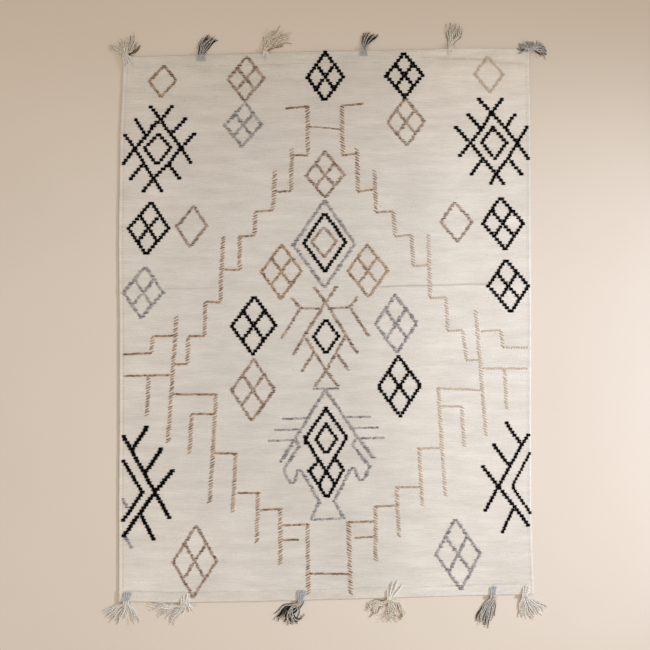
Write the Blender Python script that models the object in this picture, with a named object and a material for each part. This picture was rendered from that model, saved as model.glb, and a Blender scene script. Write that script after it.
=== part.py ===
# Kilim rug, 1.5 x 2.0 m, lying flat with its face up.
# Metres, +Z up. The origin is on the floor under the middle of the cloth, +Y runs along the warp to the
# rug's far end, and +X runs along the weft.
# The cloth is one flat sheet with a turned hem at each end. Twelve tassels are drawn through the hems,
# six at each end: each is a flat root on the face, a neck over the edge and a fan of locks on the floor.

import math

import bmesh
import bpy
from mathutils import Vector

# The cloth
RUG_WIDTH = 1.500
RUG_LENGTH = 2.000
CLOTH_THICKNESS = 0.0035
HEM_THICKNESS = 0.0060
HEM_WIDTH = 0.042
HEM_SLOPE = 0.006
WEFT_SLANT = 0.0185  # the weft rises this much for each metre to the right
COLUMNS = 20
PLAIN_ROWS = 18

# Each edge wanders from its straight line by these lengths. Along runs from -1 to 1: from left to right
# on the two ends, and from the near end to the far end on the two sides.
EDGE_COLUMNS = ("along", "far", "near", "left", "right")
EDGE_WANDER = (
    (-1.00, -0.008, 0.007, -0.003, 0.009),
    (-0.67, -0.007, 0.000, -0.003, 0.000),
    (-0.33, -0.004, -0.001, -0.001, -0.001),
    (0.00, -0.001, 0.001, -0.001, 0.000),
    (0.33, -0.002, 0.003, -0.004, -0.002),
    (0.67, 0.000, 0.006, 0.001, -0.002),
    (1.00, -0.005, 0.006, 0.013, -0.006),
)

# Soft creases that were folded into the cloth, each a low ridge right across it
CREASE_COLUMNS = ("y", "half_width", "height")
CREASES = (
    (0.136, 0.020, 0.0012),
    (0.720, 0.030, 0.0007),
    (-0.560, 0.030, 0.0007),
)

# Short swells where the cloth doesn't lie quite flat: beside the far hem, and in the field
SWELL_COLUMNS = ("x", "y", "half_length", "half_width", "height")
SWELLS = (
    (0.560, 0.925, 0.230, 0.040, 0.0018),
    (0.250, 0.938, 0.150, 0.030, 0.0008),
    (-0.330, 0.560, 0.260, 0.160, 0.0007),
    (0.420, 0.330, 0.220, 0.150, 0.0006),
    (-0.180, -0.380, 0.280, 0.150, 0.0007),
    (0.500, -0.760, 0.200, 0.120, 0.0006),
)

# The tassels. A head is a low prism on the floor, and the locks leave the facets of its rounded side.
GAP = 0.0003  # what touches keeps this much clear
EDGE_GAP = 0.0006
NECK_DROP = 0.006  # the neck comes down to the head within this distance of the cloth's edge
HEAD_CLEAR = 0.0015  # and the facets start this much farther out
HEAD_HEIGHT = 0.0070
ROOT_THICKNESS = 0.0022
ROOT_END_THICKNESS = 0.0014
FACETS = 8
FACET = 0.0030
LOCK_LAYERS = 2
LOCK_SIZE = 0.0026
LOCK_INSET = 0.13  # a lock starts this far in from its facet's corners towards the middle
LOCK_TIP = 0.55  # the tip's thickness as a share of the lock's
LENGTH_SPREAD = 0.09  # locks are up to this share longer or shorter
SPREAD_MARGIN = 0.0006  # two locks stand this much wider than a third before it comes down between them
WAVE = 0.16  # locks wander sideways by up to this share of the angle between two of them

# Heading is the middle of the fan in degrees from +X, fan is half its spread, and curl is how much
# farther a lock has turned at its tip. Root width and length are those of the flat part on the face.
TASSEL_COLUMNS = ("name", "end", "x", "heading", "fan", "curl", "length", "root_width", "root_length", "yarn")
TASSELS = (
    ("tassel_far_1", 1, -0.720, 95, 72, 10, 0.052, 0.034, 0.034, "yarn_cream"),
    ("tassel_far_2", 1, -0.456, 66, 20, -30, 0.058, 0.032, 0.026, "yarn_grey"),
    ("tassel_far_3", 1, -0.213, 56, 40, -30, 0.062, 0.026, 0.038, "yarn_cream"),
    ("tassel_far_4", 1, 0.142, 68, 26, -20, 0.046, 0.028, 0.022, "yarn_grey"),
    ("tassel_far_5", 1, 0.457, 80, 26, 10, 0.070, 0.026, 0.026, "yarn_cream"),
    ("tassel_far_6", 1, 0.727, 76, 90, -12, 0.046, 0.028, 0.020, "yarn_grey"),
    ("tassel_near_1", -1, -0.724, 243, 50, 8, 0.080, 0.038, 0.038, "yarn_cream"),
    ("tassel_near_2", -1, -0.512, 222, 34, -30, 0.084, 0.030, 0.036, "yarn_cream"),
    ("tassel_near_3", -1, -0.088, 216, 28, 34, 0.084, 0.027, 0.038, "yarn_grey"),
    ("tassel_near_4", -1, 0.237, 254, 64, 26, 0.080, 0.034, 0.038, "yarn_cream"),
    ("tassel_near_5", -1, 0.614, 254, 22, 10, 0.092, 0.028, 0.036, "yarn_grey"),
    ("tassel_near_6", -1, 0.728, 290, 38, 12, 0.076, 0.031, 0.034, "yarn_cream"),
)

FINISHES = {
    "cloth": ((0.66, 0.61, 0.54), 0.95),
    "yarn_cream": ((0.69, 0.64, 0.56), 0.95),
    "yarn_grey": ((0.33, 0.32, 0.31), 0.95),
}


def rows_of(columns, table):
    return [dict(zip(columns, row)) for row in table]


def smooth(share):
    share = max(0.0, min(1.0, share))
    return share * share * (3 - 2 * share)


def wander(edge, along):
    """How far an edge lies from its straight line at this place, read smoothly from the table."""
    rows = rows_of(EDGE_COLUMNS, EDGE_WANDER)
    for low, high in zip(rows, rows[1:]):
        if along <= high["along"]:
            share = smooth((along - low["along"]) / (high["along"] - low["along"]))
            return low[edge] + (high[edge] - low[edge]) * share
    return rows[-1][edge]


def end_y(end, x):
    """The y of the cloth's far end (1) or near end (-1) at this x."""
    straight = end * RUG_LENGTH / 2 + WEFT_SLANT * x
    return straight + wander("far" if end > 0 else "near", x / (RUG_WIDTH / 2))


def cloth_point(across, along):
    """The place on the floor of a point of the cloth. Both shares run from -1 to 1."""
    left = -RUG_WIDTH / 2 + wander("left", along)
    right = RUG_WIDTH / 2 + wander("right", along)
    x = left + (right - left) * (across + 1) / 2
    near, far = end_y(-1, x), end_y(1, x)
    return x, near + (far - near) * (along + 1) / 2


def face_height(x, y_flat):
    """The height of the cloth's face, with the hems, creases and swells."""
    from_end = RUG_LENGTH / 2 - abs(y_flat)
    height = CLOTH_THICKNESS
    height += (HEM_THICKNESS - CLOTH_THICKNESS) * (1 - smooth((from_end - HEM_WIDTH) / HEM_SLOPE))
    for crease in rows_of(CREASE_COLUMNS, CREASES):
        height += crease["height"] * smooth(1 - abs(y_flat - crease["y"]) / crease["half_width"])
    for swell in rows_of(SWELL_COLUMNS, SWELLS):
        along = smooth(1 - abs(x - swell["x"]) / swell["half_length"])
        height += swell["height"] * along * smooth(1 - abs(y_flat - swell["y"]) / swell["half_width"])
    return height


def row_places():
    """Where the cloth has a row of points along the warp: evenly, and closer at the hems and creases."""
    places = {RUG_LENGTH * (i / PLAIN_ROWS - 0.5) for i in range(PLAIN_ROWS + 1)}
    for end in (-1, 1):
        places |= {end * (RUG_LENGTH / 2 - HEM_WIDTH - extra) for extra in (0, HEM_SLOPE, 0.030)}
    crowded = set()
    for crease in rows_of(CREASE_COLUMNS, CREASES):
        ridge = {crease["y"] + crease["half_width"] * share for share in (-1, -0.5, 0, 0.5, 1)}
        crowded |= {y for y in places if abs(y - crease["y"]) < 1.4 * crease["half_width"]}
        places |= ridge
        crowded -= ridge
    return sorted(places - crowded)


def add_object(name, bm, finish):
    bmesh.ops.recalc_face_normals(bm, faces=bm.faces)
    mesh = bpy.data.meshes.new(name)
    bm.to_mesh(mesh)
    bm.free()
    mesh.materials.append(finish)
    obj = bpy.data.objects.new(name, mesh)
    bpy.context.scene.collection.objects.link(obj)
    return obj


def make_finish(name):
    colour, roughness = FINISHES[name]
    finish = bpy.data.materials.new(name)
    finish.use_nodes = True
    shader = finish.node_tree.nodes["Principled BSDF"]
    shader.inputs["Base Color"].default_value = (*colour, 1)
    shader.inputs["Roughness"].default_value = roughness
    shader.inputs["Metallic"].default_value = 0
    return finish


def make_cloth(finish):
    """One flat sheet: a grid for the face, a rim, and long faces underneath, which is flat on the floor."""
    bm = bmesh.new()
    rows = row_places()
    face, base = [], []
    for y_flat in rows:
        face_row, base_row = [], []
        for column in range(COLUMNS + 1):
            x, y = cloth_point(2 * column / COLUMNS - 1, y_flat / (RUG_LENGTH / 2))
            face_row.append(bm.verts.new((x, y, face_height(x, y_flat))))
            on_rim = column in (0, COLUMNS) or y_flat in (rows[0], rows[-1])
            base_row.append(bm.verts.new((x, y, 0)) if on_rim else None)
        face.append(face_row)
        base.append(base_row)
    last = len(rows) - 1
    for row in range(last):
        for column in range(COLUMNS):
            corners = face[row][column : column + 2] + face[row + 1][column : column + 2][::-1]
            bm.faces.new(corners)
        for column in (0, COLUMNS):
            bm.faces.new((face[row][column], face[row + 1][column], base[row + 1][column], base[row][column]))
        if 0 < row < last - 1:
            bm.faces.new((base[row][0], base[row + 1][0], base[row + 1][COLUMNS], base[row][COLUMNS]))
    for row, inner in ((0, 1), (last, last - 1)):
        for column in range(COLUMNS):
            bm.faces.new(face[row][column : column + 2] + base[row][column : column + 2][::-1])
        bm.faces.new(base[row] + [base[inner][COLUMNS], base[inner][0]])
    return add_object("rug", bm, finish)


def edge_y(end, x):
    """The y of the cloth's edge as built, straight between its columns of points."""
    corners = [cloth_point(2 * column / COLUMNS - 1, end) for column in range(COLUMNS + 1)]
    for (x_low, y_low), (x_high, y_high) in zip(corners, corners[1:]):
        if x <= x_high:
            return y_low + (y_high - y_low) * (x - x_low) / (x_high - x_low)
    return corners[-1][1]


def direction(angle):
    return Vector((math.cos(angle), math.sin(angle), 0))


def facet_angle(tassel, order):
    """The heading of a facet, counted in facets from the middle of the head."""
    step = 2 * tassel["fan"] / (FACETS - 1)
    return math.radians(tassel["heading"] - tassel["end"] * order * step)


def head_of(tassel):
    """The head's rounded side in plan: the middle of its arc, the radius, the corners, half the chord."""
    end = tassel["end"]
    outward = direction(math.radians(90 * end))
    step = math.radians(2 * tassel["fan"] / (FACETS - 1))
    radius = FACET / 2 / math.sin(step / 2)
    spokes = [direction(facet_angle(tassel, k - FACETS / 2)) * radius for k in range(FACETS + 1)]
    chord_middle = (spokes[0] + spokes[-1]) / 2
    heading = direction(math.radians(tassel["heading"]))
    between = (outward + heading).normalized()
    nearest = min((spoke - chord_middle).dot(outward) for spoke in spokes)
    reach = (HEAD_CLEAR - nearest) / between.dot(outward)
    neck = Vector((tassel["x"], edge_y(end, tassel["x"]), 0)) + outward * NECK_DROP
    centre = neck + between * reach - chord_middle
    half_chord = (spokes[0] - spokes[-1]).length / 2
    return centre, radius, [centre + spoke for spoke in spokes], half_chord


def neck_sections(tassel, half):
    """The root and neck as sections. Each gives its low and high edge, as (outward, z), and half its
    width: along the face, over the edge of the cloth and down to the floor."""
    face = HEM_THICKNESS + GAP
    length, root_half = tassel["root_length"], tassel["root_width"] / 2
    return (
        ((-length, face), (-length, face + ROOT_END_THICKNESS), root_half),
        ((-length / 2, face), (-length / 2, face + ROOT_THICKNESS), (root_half + half) / 2),
        ((EDGE_GAP, face), (EDGE_GAP + 0.001, face + ROOT_THICKNESS), half * 0.9),
        ((EDGE_GAP, 0), (NECK_DROP, HEAD_HEIGHT), half),
    )


def lock_path(tassel, column, layer, centre, radius):
    """A lock's stations, as (place, heading, thickness). It leaves its facet straight, and turns by the
    tassel's curl. One of the upper layer runs on top of its neighbours until they have spread enough for
    it to lie between them on the floor."""
    end = tassel["end"]
    order = column - (FACETS - 1) / 2
    start = facet_angle(tassel, order)
    step = math.radians(2 * tassel["fan"] / (FACETS - 1))
    phase = 2.3 * column + 4.1 * layer + 9 * tassel["x"]
    length = tassel["length"] * (1 + LENGTH_SPREAD * math.sin(phase))
    clear_at = (2 * (LOCK_SIZE + GAP) + SPREAD_MARGIN - FACET) / step
    resting = LOCK_SIZE / 2
    stacked = resting + LOCK_SIZE + 2 * GAP
    half_step = -end * step / 2 if layer else 0.0

    def at(travelled):
        share = travelled / tassel["length"]
        angle = start + half_step * smooth(travelled / clear_at)
        swing = math.radians(tassel["curl"]) / 3 * share * share
        free = smooth((travelled - clear_at) / (tassel["length"] - clear_at))
        swing += WAVE * step * math.sin(5 * share + 1.7 * phase) * free
        return centre + direction(angle + swing * travelled / (radius + travelled)) * (radius + travelled)

    if layer:
        landed = min(clear_at + 0.012, length * 0.97)
        stations = [0.003, clear_at * 0.5, clear_at, landed, (landed + length) / 2, length]
    else:
        stations = [0.003, clear_at * 0.5, clear_at, (clear_at * 1.6 + length) / 2.6, length]
    path = []
    for travelled in sorted(stations):
        ahead = at(travelled + 0.001) - at(travelled - 0.001)
        taper = smooth((travelled / length - 0.45) / 0.55)
        size = LOCK_SIZE * (1 + (LOCK_TIP - 1) * taper)
        height = stacked if layer and travelled <= clear_at else size / 2
        path.append((at(travelled) + Vector((0, 0, height)), math.atan2(ahead.y, ahead.x), size))
    return path


def add_lock(bm, corners, facet_heading, path):
    """Draws one lock out of a facet of the head: a narrow frame, then four sides, narrower at its tip."""
    middle = sum((corner.co for corner in corners), Vector()) / 4
    side_way = direction(facet_heading - math.pi / 2)
    sides = [
        (math.copysign(1, (corner.co - middle).dot(side_way)), math.copysign(1, corner.co.z - middle.z))
        for corner in corners
    ]
    sections = [[corner.co + (middle - corner.co) * LOCK_INSET for corner in corners]]
    for place, heading, size in path:
        across = direction(heading - math.pi / 2) * size / 2
        up = Vector((0, 0, size / 2))
        sections.append([place + across * side + up * rise for side, rise in sides])
    ring = corners
    for section in sections:
        following = [bm.verts.new(point) for point in section]
        for i in range(4):
            j = (i + 1) % 4
            bm.faces.new((ring[i], ring[j], following[j], following[i]))
        ring = following
    bm.faces.new(ring)


def make_tassel(tassel, finish):
    """A tassel as one solid: its root on the face, its neck over the edge, its head, and its locks."""
    bm = bmesh.new()
    end = tassel["end"]
    centre, radius, corners, half_chord = head_of(tassel)

    def place(across, outward, z):
        x = tassel["x"] + across
        return bm.verts.new((x, edge_y(end, x) + end * outward, z))

    rings = []
    for low, high, half in neck_sections(tassel, half_chord):
        rings.append((place(-half, *low), place(half, *low), place(half, *high), place(-half, *high)))
    bm.faces.new(rings[0])
    for ring, following in zip(rings, rings[1:]):
        for i in range(4):
            j = (i + 1) % 4
            bm.faces.new((ring[i], ring[j], following[j], following[i]))

    levels = [
        [bm.verts.new((corner.x, corner.y, HEAD_HEIGHT * level / LOCK_LAYERS)) for corner in corners]
        for level in range(LOCK_LAYERS + 1)
    ]
    low_left, low_right, high_right, high_left = rings[-1]
    bm.faces.new([low_right, low_left] + levels[0])
    bm.faces.new([high_left, high_right] + levels[-1][::-1])
    for low_corner, high_corner, side in ((low_left, high_left, 0), (low_right, high_right, -1)):
        rising = [level[side] for level in levels]
        bm.faces.new((low_corner, high_corner, rising[-1]))
        for lower, upper in zip(rising, rising[1:]):
            bm.faces.new((low_corner, upper, lower))
    for layer in range(LOCK_LAYERS):
        for column in range(FACETS):
            low, high = levels[layer], levels[layer + 1]
            facet = (low[column], low[column + 1], high[column + 1], high[column])
            heading = facet_angle(tassel, column - (FACETS - 1) / 2)
            add_lock(bm, facet, heading, lock_path(tassel, column, layer, centre, radius))
    return add_object(tassel["name"], bm, finish)


for old in list(bpy.data.objects):
    bpy.data.objects.remove(old)

finishes = {name: make_finish(name) for name in FINISHES}
make_cloth(finishes["cloth"])
for row in rows_of(TASSEL_COLUMNS, TASSELS):
    make_tassel(row, finishes[row["yarn"]])
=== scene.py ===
import math
import random

import bpy
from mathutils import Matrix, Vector, noise


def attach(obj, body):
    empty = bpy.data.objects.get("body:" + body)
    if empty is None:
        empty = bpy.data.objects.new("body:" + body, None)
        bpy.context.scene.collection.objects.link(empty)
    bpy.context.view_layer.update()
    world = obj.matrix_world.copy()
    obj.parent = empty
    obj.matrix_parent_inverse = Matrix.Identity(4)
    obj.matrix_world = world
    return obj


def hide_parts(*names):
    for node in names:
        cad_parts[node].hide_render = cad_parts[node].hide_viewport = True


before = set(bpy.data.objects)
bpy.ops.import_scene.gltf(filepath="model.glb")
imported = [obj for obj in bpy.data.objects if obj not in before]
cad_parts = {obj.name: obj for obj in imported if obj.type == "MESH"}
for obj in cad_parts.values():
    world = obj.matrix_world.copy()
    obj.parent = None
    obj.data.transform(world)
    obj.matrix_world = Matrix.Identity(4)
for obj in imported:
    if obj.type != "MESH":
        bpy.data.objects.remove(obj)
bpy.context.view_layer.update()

scene = bpy.context.scene
mm = 0.001


# materials and small helpers

def linearColour(hexCode):  # sRGB hex to linear
    parts = [int(hexCode[i : i + 2], 16) / 255 for i in (1, 3, 5)]
    return tuple(p / 12.92 if p <= 0.04045 else ((p + 0.055) / 1.055) ** 2.4 for p in parts) + (1.0,)


def addNode(tree, kind, inputs=None, **settings):
    node = tree.nodes.new(kind)
    for name, value in settings.items():
        setattr(node, name, value)
    for key, value in (inputs or {}).items():
        socket = node.inputs[key]
        if isinstance(value, bpy.types.Node):  # a node stands for its first live output
            value = next(output for output in value.outputs if output.enabled)
        if isinstance(value, bpy.types.NodeSocket):
            tree.links.new(value, socket)
        else:
            socket.default_value = value
    return node


def newMaterial(name, roughness, sheen=0.0, specular=0.2):
    material = bpy.data.materials.new(name)
    material.use_nodes = True
    shader = material.node_tree.nodes["Principled BSDF"]
    shader.inputs["Roughness"].default_value = roughness
    shader.inputs["Specular IOR Level"].default_value = specular
    shader.inputs["Sheen Weight"].default_value = sheen
    shader.inputs["Sheen Roughness"].default_value = 0.5
    return material, material.node_tree, shader


def smoothStep(share):
    share = max(0.0, min(1.0, share))
    return share * share * (3 - 2 * share)


def plainObject(name, points, faces, material):
    mesh = bpy.data.meshes.new(name)
    mesh.from_pydata(points, [], faces)
    mesh.validate()
    mesh.materials.append(material)
    obj = bpy.data.objects.new(name, mesh)
    scene.collection.objects.link(obj)
    return obj


# the rug's ground: one sheet of weft-faced wool with its ends turned under

clothSize = {
    "width": 1.500,
    "length": 2.000,
    "slant": 0.0185,  # weft rises this much for each metre to the right
    "chartShift": (1.6, -0.5),  # millimetres by which the chart lies off the rug's middle
    "thick": 3.5 * mm,
    "hemThick": 6.0 * mm,
    "hemWidth": 42 * mm,
    "hemSlope": 6 * mm,
    "columns": 150,
    "rows": 196,
    "edgeRound": 1.6 * mm,
    "edgeWobble": 0.9 * mm,
    "selvedgeWidth": 7 * mm,
    "selvedgeRise": 0.35 * mm,
    "selvedgeFrom": 4 * mm,
    "selvedgeGroove": 0.5 * mm,
    "grooveFrom": 11 * mm,
    "grooveWidth": 4 * mm,
    "rimShares": (0.93, 0.5),  # the edge's heights against the face's: where the round starts, and its middle
    "gridGap": 2.6 * mm,
    "rippleHigh": 0.55 * mm,
    "seamDepth": 0.8 * mm,
    "seamWidth": 3.5 * mm,
    "seamInset": 1 * mm,
    # how strongly the right edge is darkened: painted shade
    "edgePaintedShade": 0.75,
    "foldFade": 20 * mm,  # a fold line dies away over this much at both ends
    "puckerPitch": 11 * mm,
    # where the grid is finer, in millimetres: rows from an end and beside the seam, columns from a selvedge
    "extraRows": (3, 22, 28, 849, 852, 855, 858, 860.5, 863, 865.5, 868),
    "besideSeam": (-9, -5.5, -2.5, 0, 2.5, 5.5, 9),
    "extraColumns": (2.8, 5.6, 8.4, 11, 13.6, 16.4),
}

# along the edge from -1 to 1, then far, near, left and right
edgeWander = [
    (-1.00, -8 * mm, 7 * mm, -3 * mm, 9 * mm),
    (-0.67, -7 * mm, 0 * mm, -3 * mm, 0 * mm),
    (-0.33, -4 * mm, -1 * mm, -1 * mm, -1 * mm),
    (0.00, -1 * mm, 1 * mm, -1 * mm, 0 * mm),
    (0.33, -2 * mm, 3 * mm, -4 * mm, -2 * mm),
    (0.67, 0 * mm, 6 * mm, 1 * mm, -2 * mm),
    (1.00, -5 * mm, 6 * mm, 13 * mm, -6 * mm),
]

# y, half width, height: soft creases across the cloth
foldCreases = [(136, 20, 1.2), (720, 30, 0.7), (-560, 30, 0.7)]

# old folds and puckers as narrow troughs: x, y to x, y, half width, depth, and how much darker: painted shade
# along the trough
foldLines = [
    (202, 137, 610, 138, 5, 0.9, 0.42),
    (-590, 148, -382, 148, 4, 0.5, 0.26),
    (-367, 86, -130, 84, 4, 0.3, 0.2),
    (345, 972, 520, 962, 10, 1.6, 0.2),
    (520, 962, 735, 944, 9, 1.4, 0.24),
    (-735, -962, -420, -966, 5, 0.5, 0.2),
    (420, -964, 700, -960, 6, 0.6, 0.2),
    (-700, 700, -560, 704, 5, 0.3, 0.1),
    (300, -905, 720, -880, 7, 0.7, 0.1),
    (420, -820, 690, -800, 7, 0.6, 0.08),
]

# x, y, half length, half width, height: places where the cloth lies a little proud
clothSwells = [
    (560, 925, 230, 40, 1.8),
    (250, 938, 150, 30, 0.8),
    (-330, 560, 260, 160, 0.7),
    (420, 330, 220, 150, 0.6),
    (-180, -380, 280, 150, 0.7),
    (500, -760, 200, 120, 0.6),
]

# painted light and shade on the cloth: x, y, reach each way in metres, and how much paler the cloth is
# painted there, or darker below zero
paintedLightPatches = [
    (-0.50, -0.86, 0.62, 0.40, 0.085),
    (0.66, 0.92, 0.40, 0.26, 0.07),
    (0.72, -0.90, 0.34, 0.34, -0.04),
]

clothLook = {
    "roughness": 0.93,
    "sheen": 0.12,
    # stretch, scale, detail and roughness of each noise: slubs and bands run along the weft
    "noises": {
        "slubs": ((17, 240, 1), 1.0, 3.0, 0.6),
        "bands": ((5, 34, 1), 1.0, 3.0, 0.5),
        "blotch": ((1, 1, 1), 7.0, 4.0, 0.5),
        "fibres": ((1, 1, 1), 620.0, 3.0, 0.7),
        "knots": ((1, 1, 1), 260.0, 1.0, 0.5),
        "specks": ((1, 1, 1), 190.0, 1.0, 0.5),
    },
    "ramps": {"slubs": (0.30, "#E3DBD0", 0.72, "#FDFAF5"), "bands": (0.34, "#E4DED6", 0.66, "#FAF5EE")},
    "noiseRange": (0.3, 0.7),
    "tones": {"blotch": (1.025, 1.105), "fibres": (0.9, 1.07), "knots": (0.94, 1.05)},
    # painted light and shade across the cloth: darker from a quarter to half way across, brightest at the
    # right
    "paintedLightAcross": ((0.0, 0.93), (0.25, 0.875), (0.53, 0.875), (0.85, 1.0)),  # share from the left, level
    "speckRange": (0.735, 0.765, 0.45),
    # colour of the painted shade along folds and on the right edge
    "paintedShade": "#8F7D69",
    "warpPitch": 5.2 * mm,
    "weftPitch": 2.9 * mm,
    "bump": 0.45 * mm,
}


def edgeOffset(column, along):
    for low, high in zip(edgeWander, edgeWander[1:]):
        if along <= high[0]:
            share = smoothStep((along - low[0]) / (high[0] - low[0]))
            return low[column] + (high[column] - low[column]) * share
    return edgeWander[-1][column]


def endY(end, x):
    wander = edgeOffset(1 if end > 0 else 2, 2 * x / clothSize["width"])
    return end * clothSize["length"] / 2 + clothSize["slant"] * x + wander


def onFloor(across, along):  # shares from -1 to 1 to a place on the floor
    left = -clothSize["width"] / 2 + edgeOffset(3, along)
    right = clothSize["width"] / 2 + edgeOffset(4, along)
    x = left + (right - left) * (across + 1) / 2
    near, far = endY(-1, x), endY(1, x)
    return x, near + (far - near) * (along + 1) / 2


def rugPlace(s, t):  # millimetres in the rug's own chart to a place on the floor
    shiftS, shiftT = clothSize["chartShift"]
    return onFloor((s + shiftS) / 750, (t + shiftT) / 1000)


def seamWander(end, x):  # the inner edge of a hem isn't straight
    slow = 3.2 * mm * noise.noise(Vector((x * 3.1, end * 7.0, 2.0)))
    quick = 1.3 * mm * noise.noise(Vector((x * 14, end * 3.0, 5.0)))
    return (-4 * mm if end < 0 else 0) + slow + quick


def foldStrength(line, x, yFlat):  # 1 in the middle of a fold line, 0 beside it
    x0, y0, x1, y1, halfWidth = [value * mm for value in line[:5]]
    fade = clothSize["foldFade"]
    if not x0 - fade < x < x1 + fade:
        return 0.0
    middle = y0 + (y1 - y0) * (x - x0) / (x1 - x0) + 2 * mm * noise.noise(Vector((x * 9, y0 * 5, 6.0)))
    ends = smoothStep((x - x0 + fade) / (2 * fade)) * smoothStep((x1 + fade - x) / (2 * fade))
    return ends * smoothStep(1 - abs(yFlat - middle) / halfWidth)


def faceHeight(x, yFlat):
    end = 1 if yFlat > 0 else -1
    fromEnd = clothSize["length"] / 2 - abs(yFlat)
    seam = clothSize["hemWidth"] + seamWander(end, x)
    height = clothSize["thick"]
    doubled = 1 - smoothStep((fromEnd - seam) / clothSize["hemSlope"])
    height += (clothSize["hemThick"] - clothSize["thick"]) * doubled
    beside = fromEnd - seam + clothSize["seamInset"]
    pucker = 0.75 + 0.25 * math.sin(x * 2 * math.pi / clothSize["puckerPitch"])
    height -= clothSize["seamDepth"] * pucker * smoothStep(1 - abs(beside) / clothSize["seamWidth"])
    for y, halfWidth, high in foldCreases:
        bend = 6 * mm * noise.noise(Vector((x * 2.2, y * 0.01, 1.0)))
        strength = 0.75 + 0.5 * noise.noise(Vector((x * 3.0, y * 0.02, 4.0)))
        height += high * mm * strength * smoothStep(1 - abs(yFlat - y * mm - bend) / (halfWidth * mm))
    for sx, sy, halfLength, halfWidth, high in clothSwells:
        lengthwise = smoothStep(1 - abs(x - sx * mm) / (halfLength * mm))
        if lengthwise:
            height += high * mm * lengthwise * smoothStep(1 - abs(yFlat - sy * mm) / (halfWidth * mm))
    for line in foldLines:
        height -= line[5] * mm * foldStrength(line, x, yFlat)
    wave = noise.noise(Vector((x * 3.2, yFlat * 15, 0.3)))
    wave += 0.6 * noise.noise(Vector((x * 8, yFlat * 34, 3.3)))
    height += clothSize["rippleHigh"] * (0.5 + 0.5 * wave)
    return height


def surfaceAt(s, t):  # a point of the cloth's face from the chart's millimetres
    x, y = rugPlace(s, t)
    return x, y, faceHeight(x, t * mm)


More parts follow.
